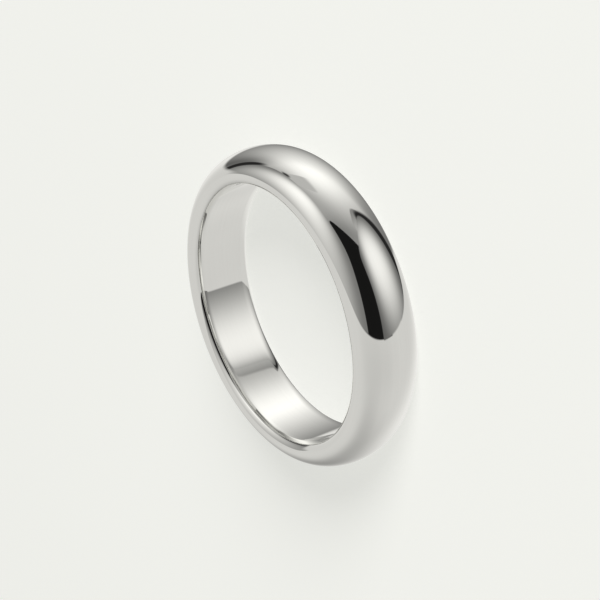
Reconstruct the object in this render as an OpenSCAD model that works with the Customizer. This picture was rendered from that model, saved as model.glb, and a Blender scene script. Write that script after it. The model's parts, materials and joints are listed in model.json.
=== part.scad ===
// Chunky dome band: a plain one-piece finger ring of polished white metal.
// It lies on its side: the finger goes through along +Z, and the origin is on the ring's axis, in
// the plane that it rests on.

/* [Band] */
// Inside diameter of the ring, where the finger goes
bore_d = 17.2; // [14:0.2:23]
// Width of the band along the finger. The wall's thickness and its rounding keep in proportion
band_w = 4.4; // [3:0.05:8]

/* [Section, as drawn for a band about 4.3 wide] */
// Radius of the dome at its crown
crown_r = 3.35; // [2.8:0.05:4.5]
// Radius of the dome beside its crown
upper_r = 2.35; // [2:0.05:2.75]
// Radius of the dome half way down
middle_r = 1.45; // [1.2:0.05:1.95]
// Radius of the dome above its widest line
lower_r = 1; // [0.9:0.05:1.15]
// Radius of the side, past the widest line to the edge of the bore
side_r = 0.85; // [0.6:0.05:0.85]
// Radius of the rounded edge between each side and the bore
edge_r = 0.25; // [0.1:0.05:0.4]
// Radius of the slow curve that eases each edge into the flat bore wall
ease_r = 1.8; // [0.8:0.1:3]

/* [Hidden] */

// The outline is a chain of tangent arcs. Where one gives way to the next it faces one of these
// directions, as [away from the bore, along the finger]. They come from whole-number triangles,
// so that the arcs' centres and ends are short decimals and meet exactly
CROWN = [1, 0];
UPPER = [24, 7] / 25;
MIDDLE = [4, 3] / 5;
LOWER = [3, 4] / 5;
SIDE = [7, 24] / 25;
EDGE = [-3, 4] / 5;
EASE = [-24, 7] / 25;
BORE = [-1, 0];

// From the crown to the bore wall: where each arc starts and ends, and its radius
starts = [CROWN, UPPER, MIDDLE, LOWER, SIDE, EDGE, EASE];
ends = [UPPER, MIDDLE, LOWER, SIDE, EDGE, EASE, BORE];
radii = [crown_r, upper_r, middle_r, lower_r, side_r, edge_r, ease_r];
last = len(radii) - 1;

// Steps from the crown's centre to the centre of an arc. Neighbouring arcs have their centres on
// one line through the point where they meet
function steps_to(i) = i == 0 ? [0, 0] : steps_to(i - 1) + (radii[i - 1] - radii[i]) * starts[i];

// The bore wall is at 0 across the section, and the middle of the band at 0 along it
crown_centre = [ease_r - steps_to(last)[0], 0];
function centre(i) = crown_centre + steps_to(i);
function start_of(i) = centre(i) + radii[i] * starts[i];
function end_of(i) = centre(i) + radii[i] * ends[i];

side_id = last - 2;
drawn_w = 2 * (centre(side_id)[1] + side_r);
drawn_wall = crown_centre[0] + crown_r;
size_k = band_w / drawn_w;
wall = drawn_wall * size_k;

// What one arc of the outline adds to the straight line between its ends
module bulge(i) {
    chord = end_of(i) - start_of(i);
    outward = [chord[1], -chord[0]];
    intersection() {
        translate(centre(i)) circle(r = radii[i], $fn = 180);
        polygon([start_of(i), end_of(i), end_of(i) + outward, start_of(i) + outward]);
    }
}

// Half of the section, on the +Z side of the middle of the band
module half_section() {
    polygon(concat([[0, 0]], [for (i = [0:last]) start_of(i)], [end_of(last)]));
    for (i = [0:last])
        bulge(i);
}

// The whole ring: the section, set at the bore's radius and turned once about the finger's axis
module band() {
    color("silver")
        translate([0, 0, band_w / 2])
            rotate_extrude($fn = 240)
                translate([bore_d / 2, 0])
                    scale(size_k)
                        for (half = [0, 1])
                            mirror([0, half]) half_section();
}

band();
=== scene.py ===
"""A chunky dome band ring of polished silver, lying on its side on a pale table.

The hoop is one piece of metal: a section with a domed back, a flat bore wall and eased edges,
swept once round the finger's axis. Everything that the eye sees on it is a reflection, so the
room round it counts as much as the metal: a pale floor, two soft boxes with a dark gap between
them and a bright back wall, set square to the camera.

Lengths are in metres unless a name says otherwise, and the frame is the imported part's own.
"""

import json
import logging
import math
from dataclasses import dataclass, field
from enum import Enum
from typing import Any

import bpy
from mathutils import Matrix, Vector


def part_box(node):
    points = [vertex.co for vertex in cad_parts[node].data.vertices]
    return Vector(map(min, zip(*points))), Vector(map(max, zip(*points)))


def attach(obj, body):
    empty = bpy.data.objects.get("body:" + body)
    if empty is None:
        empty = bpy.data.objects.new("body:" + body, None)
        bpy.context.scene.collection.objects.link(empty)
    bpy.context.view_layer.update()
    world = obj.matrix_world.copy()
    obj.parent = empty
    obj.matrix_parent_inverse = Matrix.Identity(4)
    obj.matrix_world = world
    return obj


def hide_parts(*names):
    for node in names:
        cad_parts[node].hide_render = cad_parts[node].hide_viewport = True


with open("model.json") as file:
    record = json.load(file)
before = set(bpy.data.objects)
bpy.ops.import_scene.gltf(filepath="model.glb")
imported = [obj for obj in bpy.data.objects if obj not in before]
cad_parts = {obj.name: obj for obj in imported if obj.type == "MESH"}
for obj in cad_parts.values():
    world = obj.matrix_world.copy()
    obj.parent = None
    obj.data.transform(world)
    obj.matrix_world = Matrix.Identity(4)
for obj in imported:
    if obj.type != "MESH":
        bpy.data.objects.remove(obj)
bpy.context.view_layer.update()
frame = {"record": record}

MM = 0.001
log = logging.getLogger("dome_band")

PICTURE_SIDE_PX = 600
# The node that does sums, and how a range is mapped where its ends are to be eased
MATH = "ShaderNodeMath"
SMOOTHLY = {"interpolation_type": "SMOOTHSTEP"}


class Side(Enum):
    """Which half of the room a patch of light lies on."""

    FLOOR = "floor"
    CEILING = "ceiling"


def linear(hex_colour: str) -> tuple[float, float, float, float]:
    """Turns an sRGB colour into the linear one that shaders take.

    Args:
        hex_colour: The colour as "#rrggbb".

    Returns:
        Red, green, blue and an alpha of one.
    """
    parts = [int(hex_colour[i : i + 2], 16) / 255 for i in (1, 3, 5)]
    light = [p / 12.92 if p <= 0.04045 else ((p + 0.055) / 1.055) ** 2.4 for p in parts]
    return (light[0], light[1], light[2], 1.0)


def add_node(
    tree: bpy.types.NodeTree,
    kind: str,
    *values: Any,
    inputs: dict[str, Any] | None = None,
    **settings: Any,
) -> bpy.types.Node:
    """Adds a node with its settings and links.

    Args:
        tree: The node tree that the node goes into.
        kind: The node's type name.
        *values: What goes into the inputs that the node has in use, in their order. Each is a
            number, a colour, a socket, or another node, whose first output in use is meant.
        inputs: What goes into other inputs, by their names.
        **settings: Properties of the node, such as its operation.

    Returns:
        The new node.
    """
    node = tree.nodes.new(kind)
    for name, setting in settings.items():
        setattr(node, name, setting)
    pairs = list(zip([socket for socket in node.inputs if socket.enabled], values))
    pairs += [(node.inputs[name], value) for name, value in (inputs or {}).items()]
    for socket, value in pairs:
        if isinstance(value, bpy.types.Node):
            value = next(output for output in value.outputs if output.enabled)
        if isinstance(value, bpy.types.NodeSocket):
            tree.links.new(value, socket)
        else:
            socket.default_value = value
    return node


def bare_material(name: str) -> bpy.types.Material:
    """Makes a material whose node tree is empty.

    Args:
        name: The material's name.

    Returns:
        The material.
    """
    material = bpy.data.materials.new(name)
    material.use_nodes = True
    material.node_tree.nodes.clear()
    return material


@dataclass(frozen=True)
class Arc:
    """One round part of the section: where its centre is, out from the bore wall and along."""

    out: float
    along: float
    radius: float


@dataclass
class Section:
    """The band's section, as sizes in metres.

    The back is half an ellipse. Past its widest line the side goes on as one arc, a small arc
    turns the edge, and a slow one eases that into the flat bore wall. The three radii are those
    of a band of the drawn width, and keep in proportion with the real one.
    """

    bore_radius: float
    width: float
    wall: float
    drawn_width: float = 4.348 * MM
    side_radius: float = 0.85 * MM
    edge_radius: float = 0.25 * MM
    ease_radius: float = 1.8 * MM
    # The ways that the surface faces where the side gives way to the edge, and the edge to the
    # slow arc, from straight out. They come from the same whole-number triangles as the solid's
    side_turn: float = math.atan2(4, -3)
    edge_turn: float = math.atan2(7, -24)

    @property
    def half_width(self) -> float:
        """Half the width, which is also the dome's half axis along the finger."""
        return self.width / 2

    def arcs(self) -> tuple[Arc, Arc, Arc]:
        """Works out the side, the edge and the slow arc, each tangent to the one before.

        Returns:
            The three arcs, from the widest line to the bore wall.
        """
        scale = self.width / self.drawn_width
        side, edge, ease = (
            scale * radius for radius in (self.side_radius, self.edge_radius, self.ease_radius)
        )
        edge_out = ease - (edge - ease) * math.cos(self.edge_turn)
        side_out = edge_out - (side - edge) * math.cos(self.side_turn)
        side_along = self.half_width - side
        edge_along = side_along + (side - edge) * math.sin(self.side_turn)
        ease_along = edge_along + (edge - ease) * math.sin(self.edge_turn)
        return (
            Arc(side_out, side_along, side),
            Arc(edge_out, edge_along, edge),
            Arc(ease, ease_along, ease),
        )

    def inputs(self) -> dict[str, float]:
        """Lists the sizes that the node tree asks for, for a band that rests on the table.

        Returns:
            The sizes, by the names of the tree's inputs.
        """
        sizes = {
            "Bore Radius": self.bore_radius,
            "Half Width": self.half_width,
            "Dome Height": self.wall - self.arcs()[0].out,
            "Side Turn": self.side_turn,
            "Edge Turn": self.edge_turn,
        }
        for name, arc in zip(("Side", "Edge", "Ease"), self.arcs()):
            sizes[f"{name} Centre Out"] = arc.out
            sizes[f"{name} Centre Along"] = arc.along
            sizes[f"{name} Radius"] = arc.radius
        sizes["Middle Height"] = self.half_width
        return sizes


@dataclass
class SweepTree:
    """Builds the node tree that sweeps the section round the finger's axis."""

    rounded_points: int = 196
    wall_points: int = 8
    steps_round: int = 480

    def build(self, section: Section, material: bpy.types.Material) -> bpy.types.NodeTree:
        """Makes the tree.

        Args:
            section: The section, whose sizes name the tree's inputs.
            material: What the swept surface is finished with.

        Returns:
            The tree.
        """
        tree = bpy.data.node_groups.new("swept_band", "GeometryNodeTree")
        sockets = tree.interface
        sockets.new_socket("Geometry", in_out="OUTPUT", socket_type="NodeSocketGeometry")
        for name in section.inputs():
            sockets.new_socket(name, in_out="INPUT", socket_type="NodeSocketFloat")
        given = add_node(tree, "NodeGroupInput").outputs
        round_the_bore = {"Resolution": self.steps_round, "Radius": given["Bore Radius"]}
        axis = add_node(tree, "GeometryNodeCurvePrimitiveCircle", inputs=round_the_bore)
        profile = {"Curve": axis, "Profile Curve": self.profile(tree, given)}
        swept = add_node(tree, "GeometryNodeCurveToMesh", inputs=profile)
        lift = add_node(tree, "ShaderNodeCombineXYZ", inputs={"Z": given["Middle Height"]})
        place = {"Geometry": swept, "Offset": lift}
        lifted = add_node(tree, "GeometryNodeSetPosition", inputs=place)
        shading = {"Geometry": lifted, "Shade Smooth": True}
        smooth = add_node(tree, "GeometryNodeSetShadeSmooth", inputs=shading)
        real = add_node(tree, "GeometryNodeRealizeInstances", smooth)
        finish = {"Geometry": real, "Material": material}
        dressed = add_node(tree, "GeometryNodeSetMaterial", inputs=finish)
        add_node(tree, "NodeGroupOutput", dressed)
        return tree

    def profile(self, tree: bpy.types.NodeTree, given: bpy.types.NodeOutputs) -> bpy.types.Node:
        """Draws the closed section.

        Most points are told apart by the way that the surface faces there, which goes once round
        from the bore wall's far end to its near end. The rest are spread along the flat wall.

        Args:
            tree: The tree to draw it in.
            given: The tree's named sizes.

        Returns:
            The curve, with x out from the bore wall and y against the finger's axis.
        """
        number = {"Resolution": self.rounded_points + self.wall_points}
        ring = add_node(tree, "GeometryNodeCurvePrimitiveCircle", inputs=number)
        index = add_node(tree, "GeometryNodeInputIndex")
        last = self.rounded_points - 1
        turned = add_node(tree, MATH, index, 2 * math.pi / last, operation="MULTIPLY")
        facing = add_node(tree, MATH, turned, math.pi, operation="SUBTRACT")
        turn = add_node(tree, MATH, facing, operation="ABSOLUTE")
        hand = add_node(tree, MATH, facing, operation="SIGN")
        out, along = self.rounded(tree, turn, given)
        along = add_node(tree, MATH, along, hand, operation="MULTIPLY")

        # The flat wall goes from where the slow arc ends on the near side to where it ends on the
        # far side, which is its mirror image
        in_wall = add_node(tree, MATH, index, last + 0.5, operation="GREATER_THAN")
        past = add_node(tree, MATH, index, last, operation="SUBTRACT")
        share = add_node(tree, MATH, past, self.wall_points + 1, operation="DIVIDE")
        down = add_node(tree, MATH, share, -2.0, 1.0, operation="MULTIPLY_ADD")
        wall_along = add_node(tree, MATH, given["Ease Centre Along"], down, operation="MULTIPLY")
        on_back = add_node(tree, MATH, 1.0, in_wall, operation="SUBTRACT")
        x = add_node(tree, MATH, out, on_back, operation="MULTIPLY")
        choice = {"Switch": in_wall, "False": along, "True": wall_along}
        y = add_node(tree, "GeometryNodeSwitch", inputs=choice, input_type="FLOAT")
        place = {"Geometry": ring, "Position": add_node(tree, "ShaderNodeCombineXYZ", x, y)}
        return add_node(tree, "GeometryNodeSetPosition", inputs=place)

    def rounded(
        self, tree: bpy.types.NodeTree, turn: bpy.types.Node, given: bpy.types.NodeOutputs
    ) -> tuple[bpy.types.Node, bpy.types.Node]:
        """Places a point of the dome or of one of the arcs by the way that it faces.

        Args:
            tree: The tree to work it out in.
            turn: Angle between the way that the surface faces and straight out from the bore.
            given: The tree's named sizes.

        Returns:
            Distance out from the bore wall, and distance along the finger from the middle.
        """
        # The place on the half ellipse where the surface faces this way
        height = given["Dome Height"]
        half_width = given["Half Width"]
        cosine = add_node(tree, MATH, turn, operation="COSINE")
        sine = add_node(tree, MATH, turn, operation="SINE")
        flat = add_node(tree, MATH, height, cosine, operation="MULTIPLY")
        tall = add_node(tree, MATH, half_width, sine, operation="MULTIPLY")
        tall_squared = add_node(tree, MATH, tall, tall, operation="MULTIPLY")
        squared = add_node(tree, MATH, flat, flat, tall_squared, operation="MULTIPLY_ADD")
        reach = add_node(tree, MATH, squared, operation="SQRT")
        flat_share = add_node(tree, MATH, flat, reach, operation="DIVIDE")
        tall_share = add_node(tree, MATH, tall, reach, operation="DIVIDE")
        side_out = given["Side Centre Out"]
        out = add_node(tree, MATH, height, flat_share, side_out, operation="MULTIPLY_ADD")
        along = add_node(tree, MATH, half_width, tall_share, operation="MULTIPLY")

        # Past the turn at which it starts, each arc takes over from the one before
        starts = {"Side": math.pi / 2, "Edge": given["Side Turn"], "Ease": given["Edge Turn"]}
        for name, start in starts.items():
            radius = given[f"{name} Radius"]
            centre_out = given[f"{name} Centre Out"]
            centre_along = given[f"{name} Centre Along"]
            past = add_node(tree, MATH, turn, start, operation="GREATER_THAN")
            arc_out = add_node(tree, MATH, radius, cosine, centre_out, operation="MULTIPLY_ADD")
            arc_along = add_node(tree, MATH, radius, sine, centre_along, operation="MULTIPLY_ADD")
            out_choice = {"Switch": past, "False": out, "True": arc_out}
            out = add_node(tree, "GeometryNodeSwitch", inputs=out_choice, input_type="FLOAT")
            along_choice = {"Switch": past, "False": along, "True": arc_along}
            along = add_node(tree, "GeometryNodeSwitch", inputs=along_choice, input_type="FLOAT")
        return out, along


@dataclass(frozen=True)
class PolishedSilver:
    """Sterling silver, cast or turned and then buffed to a mirror.

    The eye gets a cool white metal with sharp, nearly uncoloured reflections. What is left of the
    buffing is a trace of fine lines that run round the band, and a surface that is a little less
    than perfectly even.
    """

    colour: str = "#f7f7f5"
    dulled: str = "#eeeeec"
    gloss: float = 0.018
    worn: float = 0.05
    least_wear: float = 0.15
    most_wear: float = 0.5
    worn_patch: float = 3.1 * MM
    # The wheel's lines are some 0.02 mm apart. They are drawn at this pitch so that they show
    line_pitch: float = 0.16 * MM
    ripple: float = 2.4 * MM
    ripple_height: float = 0.00012 * MM

    def build(self) -> bpy.types.Material:
        """Makes the material.

        Returns:
            The finish for the whole ring.
        """
        material = bare_material("sterling_silver_mirror_polished")
        tree = material.node_tree
        place = add_node(tree, "ShaderNodeTexCoord").outputs["Object"]
        lines = self.buffing_lines(tree, place)
        patches = {"Vector": place, "Scale": 1 / self.worn_patch, "Detail": 3.0}
        clouds = add_node(tree, "ShaderNodeTexNoise", inputs=patches)
        wear = add_node(tree, MATH, clouds, lines, operation="MULTIPLY", use_clamp=True)
        span = (self.least_wear, self.most_wear, self.gloss, self.worn)
        roughness = add_node(tree, "ShaderNodeMapRange", wear, *span)
        tints = (linear(self.colour), linear(self.dulled))
        tint = add_node(tree, "ShaderNodeMix", wear, *tints, data_type="RGBA")
        swell = {"Vector": place, "Scale": 1 / self.ripple, "Detail": 0.0}
        ripples = add_node(tree, "ShaderNodeTexNoise", inputs=swell)
        height = {"Strength": 1.0, "Distance": self.ripple_height, "Height": ripples}
        bump = add_node(tree, "ShaderNodeBump", inputs=height)
        metal = {"Base Color": tint, "Metallic": 1.0, "Roughness": roughness, "Normal": bump}
        shader = add_node(tree, "ShaderNodeBsdfPrincipled", inputs=metal)
        add_node(tree, "ShaderNodeOutputMaterial", shader)
        return material

    def buffing_lines(
        self, tree: bpy.types.NodeTree, place: bpy.types.NodeSocket
    ) -> bpy.types.Node:
        """Draws the fine lines that the buffing wheel leaves round the band.

        Args:
            tree: The material's tree.
            place: The point on the ring.

        Returns:
            A pattern of about one half, drawn out round the ring and fine across it.
        """
        axes = add_node(tree, "ShaderNodeSeparateXYZ", place).outputs
        across = add_node(tree, MATH, axes["X"], axes["X"], operation="MULTIPLY")
        squared = add_node(tree, MATH, axes["Y"], axes["Y"], across, operation="MULTIPLY_ADD")
        radius = add_node(tree, MATH, squared, operation="SQRT")
        over = add_node(tree, MATH, axes["Z"], radius, operation="ADD")
        fine = add_node(tree, MATH, over, self.line_pitch, operation="DIVIDE")
        round_x = add_node(tree, MATH, axes["X"], radius, operation="DIVIDE")
        round_y = add_node(tree, MATH, axes["Y"], radius, operation="DIVIDE")
        stretched = add_node(tree, "ShaderNodeCombineXYZ", round_x, round_y, fine)
        grain = {"Vector": stretched, "Scale": 1.0, "Detail": 2.0}
        return add_node(tree, "ShaderNodeTexNoise", inputs=grain)


@dataclass(frozen=True)
class LitTable:
    """A sheet of opal acrylic with a matt face, lit evenly from below, as under small products.

    The eye gets an even, faintly warm white that takes only faint soft shadows, because most of
    its light comes up through it, and that gives no reflection.
    """

    colour: str = "#bcbcb9"
    clouded: str = "#babab7"
    lit: str = "#f1f2ed"
    lit_share: float = 0.69
    cloud: float = 30 * MM
    roughness: float = 0.9
    sheen: float = 0.1

    def build(self) -> bpy.types.Material:
        """Makes the material.

        Returns:
            The finish for the table top.
        """
        material = bare_material("opal_acrylic_backlit_matt")
        tree = material.node_tree
        place = add_node(tree, "ShaderNodeTexCoord").outputs["Object"]
        haze = {"Vector": place, "Scale": 1 / self.cloud, "Detail": 2.0}
        clouds = add_node(tree, "ShaderNodeTexNoise", inputs=haze)
        tints = (linear(self.colour), linear(self.clouded))
        tint = add_node(tree, "ShaderNodeMix", clouds, *tints, data_type="RGBA")
        sheet = {
            "Base Color": tint,
            "Roughness": self.roughness,
            "Specular IOR Level": self.sheen,
            "Emission Color": linear(self.lit),
            "Emission Strength": self.lit_share,
        }
        shader = add_node(tree, "ShaderNodeBsdfPrincipled", inputs=sheet)
        add_node(tree, "ShaderNodeOutputMaterial", shader)
        return material


@dataclass
class Band:
    """The whole ring: one swept solid."""

    node: str = "band"
    finish: PolishedSilver = PolishedSilver()
    sweep: SweepTree = field(default_factory=SweepTree)

    def section(self) -> Section:
        """Works the section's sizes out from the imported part.

        Returns:
            The section, as wide and as thick as the plain solid's.
        """
        low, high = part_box(self.node)
        bore = next(m for m in frame["record"]["mounts"] if m["name"] == "finger_bore")
        radius = bore["dims"]["r_mm"] * MM
        return Section(bore_radius=radius, width=high[2] - low[2], wall=high[0] - radius)

    def build(self) -> bpy.types.Object:
        """Sweeps the section, dresses it and puts it in the place of the plain node.

        Returns:
            The finished piece.
        """
        section = self.section()
        tree = self.sweep.build(section, self.finish.build())
        maker = bpy.data.objects.new("band_maker", bpy.data.meshes.new("band_maker"))
        bpy.context.scene.collection.objects.link(maker)
        modifier = maker.modifiers.new("sweep", "NODES")
        modifier.node_group = tree
        sizes = section.inputs()
        for socket in tree.interface.items_tree:
            if socket.in_out == "INPUT":
                modifier[socket.identifier] = sizes[socket.name]
        graph = bpy.context.evaluated_depsgraph_get()
        mesh = bpy.data.meshes.new_from_object(maker.evaluated_get(graph))
        mesh.name = "dome_band"
        maker.modifiers.clear()
        bpy.data.objects.remove(maker)
        piece = bpy.data.objects.new("dome_band", mesh)
        bpy.context.scene.collection.objects.link(piece)
        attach(piece, "root")
        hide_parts(self.node)
        return piece


@dataclass
class ProductCamera:
    """The camera, held at the photograph's angle to the ring.

    The ring's axis and the picture's level fix how it is turned, and the ring's centre is a little
    off the middle of the picture, as in the photograph.
    """

    target: Vector
    distance: float = 88.55 * MM
    off_axis_deg: float = 59.57
    roll_deg: float = -109.43
    lens_mm: float = 82.29
    sensor_mm: float = 36.0
    # Where the ring's centre is in the picture, from its top left corner
    centre_px: tuple[float, float] = (294.3, 307.2)
    nearest: float = 5 * MM
    farthest: float = 5.0

    def axes(self) -> tuple[Vector, Vector, Vector]:
        """Works out which way the camera's right, up and back point.

        Returns:
            The three directions, for a camera whose middle looks at the target.
        """
        lean = math.radians(self.off_axis_deg)
        roll = math.radians(self.roll_deg)
        back = Vector((math.sin(lean), 0, math.cos(lean)))
        level = Vector((0, 1, 0))
        upright = level.cross(-back)
        right = math.cos(roll) * level + math.sin(roll) * upright
        up = -math.sin(roll) * level + math.cos(roll) * upright
        return right, up, back

    def build(self) -> bpy.types.Object:
        """Makes the camera and sets it as the scene's.

        Returns:
            The camera.
        """
        right, up, back = self.axes()
        data = bpy.data.cameras.new("product_camera")
        data.sensor_width = self.sensor_mm
        data.lens = self.lens_mm
        data.clip_start = self.nearest
        data.clip_end = self.farthest
        camera = bpy.data.objects.new("product_camera", data)
        bpy.context.scene.collection.objects.link(camera)
        focal_px = self.lens_mm / self.sensor_mm * PICTURE_SIDE_PX
        middle = PICTURE_SIDE_PX / 2
        across, down = self.centre_px
        aside = Vector(((across - middle) / focal_px, (middle - down) / focal_px, 1)).normalized()
        turn = Vector((0, 0, 1)).rotation_difference(aside).to_matrix()
        basis = Matrix((right, up, -back)).transposed() @ turn.transposed()
        new_right, new_up, ahead = basis.transposed()
        placed = Matrix((new_right, new_up, -ahead)).transposed().to_4x4()
        placed.translation = self.target + back * self.distance
        camera.matrix_world = placed
        bpy.context.scene.camera = camera
        return camera


@dataclass(frozen=True)
class Glow:
    """A soft patch that is lighter or darker than the floor or the ceiling round it.

    Its middle is an angle round from the camera's side, positive to the camera's right, and an
    angle up. Its half sizes are those of a flat patch at a distance of one.
    """

    name: str
    on: Side
    faces_deg: float
    rises_deg: float
    half_width: float
    half_height: float
    level: float


@dataclass(frozen=True)
class Panel:
    """An upright panel with a rounded top that stands at a distance of one, lit or dark.

    The way that it faces is an angle from the camera's side, positive to the camera's right. Its
    edges are measured from the point of its plane that is level with the ring. Its top and its
    foot can slope, and the foot can also rise or sink to the left. Its light is brightest at the
    core and falls off to the rim, with a flatter middle and a steeper fall the more even it is.
    """

    name: str
    faces_deg: float
    left: float
    right: float
    foot: float
    top: float
    blur: float
    squareness: float
    core: float
    rim: float
    core_across: float = 0.0
    core_up: float = 0.0
    core_half_width: float = 5.0
    core_half_height: float = 5.0
    evenness: float = 1.0
    foot_blur: float = 0.015
    lean: float = 0.0
    top_slope: float = 0.0
    foot_slope: float = 0.0
    foot_rise: float = 0.0
    foot_lowest: float = -9.0


@dataclass(frozen=True)
class Sky:
    """How bright the room's pale floor and its ceiling are, and where they meet."""

    floor: float = 0.668
    ceiling: float = 0.39
    level_deg: float = -1.5
    level_blur_deg: float = 0.7


GLOWS = (
    Glow("shade in front", on=Side.FLOOR, faces_deg=10, rises_deg=-25, half_width=0.9,
         half_height=0.6, level=0.585),
    Glow("shade below", on=Side.FLOOR, faces_deg=0, rises_deg=-88, half_width=0.45,
         half_height=0.83, level=0.46),
    Glow("lit table right", on=Side.FLOOR, faces_deg=168, rises_deg=-44, half_width=0.88,
         half_height=0.59, level=0.91),
    Glow("shade behind", on=Side.FLOOR, faces_deg=-161, rises_deg=-63, half_width=0.41,
         half_height=0.51, level=0.33),
    Glow("back light", on=Side.CEILING, faces_deg=174, rises_deg=48, half_width=0.55,
         half_height=0.6, level=1.15),
    Glow("dim ceiling", on=Side.CEILING, faces_deg=17, rises_deg=69, half_width=0.8,
         half_height=0.19, level=0.23),
)

# Drawn in this order, each in front of the ones before it
PANELS = (
    Panel("back wall", faces_deg=178, left=-1.1, right=1.3, foot=-0.32, top=1.0, blur=0.35,
          squareness=2.0, core=1.3, rim=0.06, core_across=-0.06, core_up=1.8, core_half_width=0.81,
          core_half_height=1.57, evenness=1.34, foot_blur=0.04, foot_rise=0.35),
    Panel("grey end of the ceiling", faces_deg=178, left=0.36, right=2.8, foot=2.07, top=6.0,
          blur=0.2, squareness=3.0, core=0.5, rim=0.5, foot_blur=0.06),
    Panel("top of the left strip", faces_deg=-127, left=-0.06, right=0.1, foot=1.1, top=1.4,
          blur=0.05, squareness=2.0, core=0.05, rim=0.05, foot_blur=0.06),
    Panel("dark gap", faces_deg=-6, left=-0.45, right=2.3, foot=-0.012, top=3.28, blur=0.035,
          squareness=9.0, core=0.009, rim=0.009, foot_slope=-0.065),
    Panel("left soft box", faces_deg=-60, left=-2.7, right=1.82, foot=-0.02, top=2.75, blur=0.05,
          squareness=4.2, core=1.085, rim=0.19, core_across=-0.53, core_up=1.22,
          core_half_width=0.96, core_half_height=1.38, foot_blur=0.03, foot_rise=-0.4,
          foot_lowest=-0.5),
    Panel("left strip", faces_deg=-130, left=-0.055, right=0.095, foot=-0.12, top=0.64, blur=0.025,
          squareness=3.0, core=0.02, rim=0.02, foot_blur=0.03, lean=-0.13),
    Panel("right box's casing", faces_deg=84, left=0.02, right=0.86, foot=-0.04, top=1.86,
          blur=0.03, squareness=4.0, core=0.48, rim=0.24, core_across=0.1, core_up=1.3,
          core_half_width=0.35, core_half_height=0.6),
    Panel("right strip", faces_deg=119, left=-0.15, right=0.27, foot=-0.02, top=1.31, blur=0.035,
          squareness=4.0, core=0.02, rim=0.02, foot_blur=0.02, lean=-0.17),
    Panel("right soft box", faces_deg=84, left=-0.94, right=0.76, foot=-0.035, top=1.56, blur=0.03,
          squareness=4.6, core=0.975, rim=0.12, core_across=-0.07, core_up=0.8,
          core_half_width=0.58, core_half_height=0.76, evenness=1.36, foot_slope=0.06,
          top_slope=-0.16),
    Panel("lit table left", faces_deg=-147, left=-0.62, right=0.66, foot=-0.75, top=0.0, blur=0.035,
          squareness=2.2, core=0.85, rim=0.65, core_across=-0.3, core_up=-0.1, core_half_width=0.4,
          core_half_height=0.6, foot_blur=0.4),
)


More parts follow.
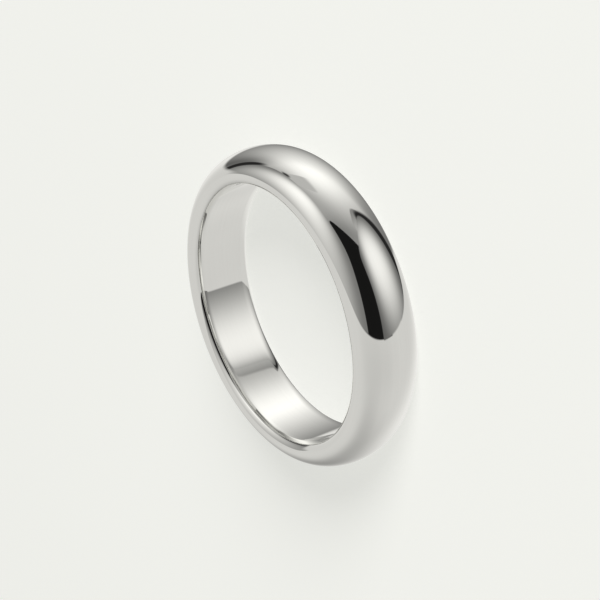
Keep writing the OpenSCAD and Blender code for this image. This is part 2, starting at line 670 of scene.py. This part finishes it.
@dataclass
class Room:
    """The room that the metal mirrors, painted on the world square to the camera."""

    camera_back: Vector
    camera_right: Vector
    sky: Sky = Sky()
    glows: tuple[Glow, ...] = GLOWS
    panels: tuple[Panel, ...] = PANELS
    warmth: str = "#fffefa"
    seen: str = "#f1f2ed"
    fill: str = "#767673"
    # A direction that goes less than this far towards a plane at a distance of one misses it
    least_depth: float = 0.001

    def directions(self) -> tuple[Vector, Vector, Vector]:
        """Works out the room's own directions from the camera's.

        Returns:
            The level way to the camera, the camera's right, and the room's up.
        """
        up = self.camera_right.cross(Vector((0, 0, -1))).normalized()
        front = (self.camera_back - self.camera_back.dot(up) * up).normalized()
        side = up.cross(front)
        return front, side, up

    def turned(self, faces_deg: float, rises_deg: float = 0.0) -> tuple[Vector, Vector, Vector]:
        """Turns the room's directions to a patch of it.

        Args:
            faces_deg: Angle round from the camera's side, positive to the camera's right.
            rises_deg: Angle up from the level.

        Returns:
            The ways to the patch, across it to the right and up it.
        """
        front, side, up = self.directions()
        turn = math.radians(faces_deg)
        rise = math.radians(rises_deg)
        level = math.cos(turn) * front + math.sin(turn) * side
        across = -math.sin(turn) * front + math.cos(turn) * side
        ahead = math.cos(rise) * level + math.sin(rise) * up
        upward = -math.sin(rise) * level + math.cos(rise) * up
        return ahead, across, upward

    def build(self) -> bpy.types.World:
        """Paints the whole room for the metal, and plain soft walls for all else.

        Returns:
            The world.
        """
        world = bpy.data.worlds.new("studio_room")
        bpy.context.scene.world = world
        world.use_nodes = True
        tree = world.node_tree
        tree.nodes.clear()
        ray = add_node(tree, "ShaderNodeTexCoord").outputs["Generated"]
        light = self.floor_and_ceiling(tree, ray)
        for panel in self.panels:
            light = self.with_panel(tree, ray, light, panel)
        warm = linear(self.warmth)
        tinting = {"data_type": "RGBA", "blend_type": "MULTIPLY"}
        shown = add_node(tree, "ShaderNodeMix", 1.0, warm, light, **tinting)
        path = add_node(tree, "ShaderNodeLightPath").outputs
        for kind, plain in {"Is Diffuse Ray": self.fill, "Is Camera Ray": self.seen}.items():
            walls = (path[kind], shown, linear(plain))
            shown = add_node(tree, "ShaderNodeMix", *walls, data_type="RGBA")
        background = add_node(tree, "ShaderNodeBackground", shown)
        add_node(tree, "ShaderNodeOutputWorld", background)
        return world

    def flat_place(
        self,
        tree: bpy.types.NodeTree,
        ray: bpy.types.NodeSocket,
        ways: tuple[Vector, Vector, Vector],
    ) -> tuple[bpy.types.Node, bpy.types.Node, bpy.types.Node]:
        """Finds where a direction meets a plane at a distance of one.

        Args:
            tree: The world's tree.
            ray: The direction looked in.
            ways: The ways to the plane, across it and up it.

        Returns:
            Places across and up the plane, and one where it is ahead and nought where it isn't.
        """
        depth, across, upward = (
            add_node(tree, "ShaderNodeVectorMath", ray, way, operation="DOT_PRODUCT")
            for way in ways
        )
        safe_depth = add_node(tree, MATH, depth, self.least_depth, operation="MAXIMUM")
        x = add_node(tree, MATH, across, safe_depth, operation="DIVIDE")
        y = add_node(tree, MATH, upward, safe_depth, operation="DIVIDE")
        ahead = add_node(tree, MATH, depth, self.least_depth, operation="GREATER_THAN")
        return x, y, ahead

    @staticmethod
    def falloff(
        tree: bpy.types.NodeTree,
        x: bpy.types.Node,
        y: bpy.types.Node,
        half_width: float,
        half_height: float,
        evenness: float = 1.0,
    ) -> bpy.types.Node:
        """Draws a round soft spot, which is one in the middle and falls off smoothly all round.

        Args:
            tree: The world's tree.
            x: Place across, from the spot's middle.
            y: Place up, from the spot's middle.
            half_width: How far across it falls to about a third.
            half_height: How far up it falls to about a third.
            evenness: How flat its middle and how steep its fall is.

        Returns:
            The spot's strength.
        """
        near_x = add_node(tree, MATH, x, half_width, operation="DIVIDE")
        near_y = add_node(tree, MATH, y, half_height, operation="DIVIDE")
        squared_y = add_node(tree, MATH, near_y, near_y, operation="MULTIPLY")
        spread = add_node(tree, MATH, near_x, near_x, squared_y, operation="MULTIPLY_ADD")
        fall = add_node(tree, MATH, spread, evenness, operation="POWER")
        minus = add_node(tree, MATH, fall, -1.0, operation="MULTIPLY")
        return add_node(tree, MATH, minus, operation="EXPONENT")

    def floor_and_ceiling(
        self, tree: bpy.types.NodeTree, ray: bpy.types.NodeSocket
    ) -> bpy.types.Node:
        """Paints the floor and the ceiling with the patches of light on them.

        Args:
            tree: The world's tree.
            ray: The direction looked in.

        Returns:
            The brightness.
        """
        levels: dict[Side, Any] = {Side.FLOOR: self.sky.floor, Side.CEILING: self.sky.ceiling}
        for patch in self.glows:
            ways = self.turned(patch.faces_deg, patch.rises_deg)
            x, y, ahead = self.flat_place(tree, ray, ways)
            soft = self.falloff(tree, x, y, patch.half_width, patch.half_height)
            share = add_node(tree, MATH, soft, ahead, operation="MULTIPLY")
            mixed = (levels[patch.on], patch.level)
            levels[patch.on] = add_node(tree, "ShaderNodeMix", share, *mixed)
        up = self.directions()[2]
        height = add_node(tree, "ShaderNodeVectorMath", ray, up, operation="DOT_PRODUCT")
        angle = add_node(tree, MATH, height, operation="ARCSINE")
        start = math.radians(self.sky.level_deg - self.sky.level_blur_deg)
        end = math.radians(self.sky.level_deg + self.sky.level_blur_deg)
        span = (start, end, levels[Side.FLOOR], levels[Side.CEILING])
        return add_node(tree, "ShaderNodeMapRange", angle, *span, **SMOOTHLY)

    def above_foot(
        self, tree: bpy.types.NodeTree, x: bpy.types.Node, y: bpy.types.Node, panel: Panel
    ) -> bpy.types.Node:
        """Tells what is above a panel's foot.

        Args:
            tree: The world's tree.
            x: Place across the panel's plane.
            y: Place up it.
            panel: The panel's sizes.

        Returns:
            One above the foot and nought below it, with the foot's blur between.
        """
        left_of = add_node(tree, MATH, x, 0.0, operation="MINIMUM")
        squared = add_node(tree, MATH, left_of, left_of, operation="MULTIPLY")
        bent = add_node(tree, MATH, squared, panel.foot_rise, operation="MULTIPLY")
        rise = add_node(tree, MATH, bent, panel.foot_lowest, operation="MAXIMUM")
        slope = add_node(tree, MATH, x, panel.foot_slope, operation="MULTIPLY")
        over_slope = add_node(tree, MATH, y, slope, operation="SUBTRACT")
        above = add_node(tree, MATH, over_slope, rise, operation="SUBTRACT")
        span = (panel.foot - panel.foot_blur, panel.foot + panel.foot_blur, 0.0, 1.0)
        return add_node(tree, "ShaderNodeMapRange", above, *span, **SMOOTHLY)

    def inside_edges(
        self, tree: bpy.types.NodeTree, x: bpy.types.Node, y: bpy.types.Node, panel: Panel
    ) -> bpy.types.Node:
        """Tells what is between a panel's sides and under its rounded top.

        Args:
            tree: The world's tree.
            x: Place across the panel, past its lean.
            y: Place up it.
            panel: The panel's sizes.

        Returns:
            One inside and nought outside, with the panel's blur between.
        """
        half_width = (panel.right - panel.left) / 2
        half_height = (panel.top - panel.foot) / 2
        middle = (panel.right + panel.left) / 2
        half_way = (panel.top + panel.foot) / 2
        off_x = add_node(tree, MATH, x, middle, operation="SUBTRACT")
        under_top = add_node(tree, MATH, x, -panel.top_slope, y, operation="MULTIPLY_ADD")
        off_y = add_node(tree, MATH, under_top, half_way, operation="SUBTRACT")
        aside = add_node(tree, MATH, off_x, operation="ABSOLUTE")
        over = add_node(tree, MATH, off_y, 0.0, operation="MAXIMUM")
        far_x = add_node(tree, MATH, aside, half_width, operation="DIVIDE")
        far_y = add_node(tree, MATH, over, half_height, operation="DIVIDE")
        bent_x = add_node(tree, MATH, far_x, panel.squareness, operation="POWER")
        bent_y = add_node(tree, MATH, far_y, panel.squareness, operation="POWER")
        bent = add_node(tree, MATH, bent_x, bent_y, operation="ADD")
        far = add_node(tree, MATH, bent, 1 / panel.squareness, operation="POWER")
        blur = panel.blur / min(half_width, half_height)
        span = (1 - blur, 1 + blur, 1.0, 0.0)
        return add_node(tree, "ShaderNodeMapRange", far, *span, **SMOOTHLY)

    def with_panel(
        self,
        tree: bpy.types.NodeTree,
        ray: bpy.types.NodeSocket,
        behind: bpy.types.Node,
        panel: Panel,
    ) -> bpy.types.Node:
        """Paints one panel over what is behind it.

        Args:
            tree: The world's tree.
            ray: The direction looked in.
            behind: The brightness so far.
            panel: The panel's sizes.

        Returns:
            The brightness with the panel in it.
        """
        x, y, ahead = self.flat_place(tree, ray, self.turned(panel.faces_deg))
        standing = self.above_foot(tree, x, y, panel)
        x = add_node(tree, MATH, y, -panel.lean, x, operation="MULTIPLY_ADD")
        inside = self.inside_edges(tree, x, y, panel)
        shape = add_node(tree, MATH, inside, standing, operation="MULTIPLY")
        covered = add_node(tree, MATH, shape, ahead, operation="MULTIPLY")
        core_x = add_node(tree, MATH, x, panel.core_across, operation="SUBTRACT")
        core_y = add_node(tree, MATH, y, panel.core_up, operation="SUBTRACT")
        core_size = (panel.core_half_width, panel.core_half_height)
        core = self.falloff(tree, core_x, core_y, *core_size, panel.evenness)
        gain = panel.core - panel.rim
        own = add_node(tree, MATH, core, gain, panel.rim, operation="MULTIPLY_ADD")
        return add_node(tree, "ShaderNodeMix", covered, behind, own)


@dataclass(frozen=True)
class Lamp:
    """The round soft lamp over the table: which way it stands from the ring, and its power."""

    azimuth_deg: float = 35.0
    rise_deg: float = 20.0
    power: float = 15.2
    distance: float = 1.2
    size: float = 0.6

    def build(self) -> bpy.types.Object:
        """Makes the lamp, which neither the camera nor the metal sees.

        Returns:
            The lamp.
        """
        data = bpy.data.lights.new("soft_lamp", "AREA")
        data.shape = "DISK"
        data.size = self.size
        data.energy = self.power
        lamp = bpy.data.objects.new("soft_lamp", data)
        bpy.context.scene.collection.objects.link(lamp)
        turn = math.radians(self.azimuth_deg)
        rise = math.radians(self.rise_deg)
        level = math.cos(rise)
        way = Vector((level * math.cos(turn), level * math.sin(turn), math.sin(rise)))
        lamp.location = way * self.distance
        lamp.rotation_mode = "QUATERNION"
        lamp.rotation_quaternion = way.to_track_quat("Z", "Y")
        lamp.visible_glossy = False
        lamp.visible_camera = False
        return lamp


@dataclass
class Studio:
    """The table that the ring lies on, and the soft lamp over it."""

    table_side: float = 3.0
    table_finish: LitTable = LitTable()
    lamp: Lamp = Lamp()

    def build(self) -> bpy.types.Object:
        """Makes the table and the lamp.

        Returns:
            The table.
        """
        self.lamp.build()
        return self.table()

    def table(self) -> bpy.types.Object:
        """Makes the table top that the ring lies on.

        The ring doesn't mirror it: what the metal shows is the room of panels.

        Returns:
            The table.
        """
        half = self.table_side / 2
        corners = [(-half, -half, 0), (half, -half, 0), (half, half, 0), (-half, half, 0)]
        mesh = bpy.data.meshes.new("studio_floor")
        mesh.from_pydata(corners, [], [(0, 1, 2, 3)])
        mesh.materials.append(self.table_finish.build())
        table = bpy.data.objects.new("studio_floor", mesh)
        bpy.context.scene.collection.objects.link(table)
        table.visible_glossy = False
        return table


def main() -> None:
    """Builds the ring, the camera and the studio."""
    logging.basicConfig(level=logging.INFO, format="%(name)s: %(message)s")
    bpy.context.scene.view_settings.view_transform = "Standard"
    band = Band()
    camera = ProductCamera(target=Vector((0, 0, band.section().half_width)))
    camera.build()
    log.info("product_camera stands %.1f mm off", camera.distance / MM)
    piece = band.build()
    log.info("%s has %d faces", piece.name, len(piece.data.polygons))
    right, _, back = camera.axes()
    table = Studio().build()
    log.info("%s is set out, with its lamp over it", table.name)
    room = Room(camera_back=back, camera_right=right)
    room.build()
    log.info("room has %d panels and %d patches of light", len(room.panels), len(room.glows))


if __name__ == "__main__":
    main()
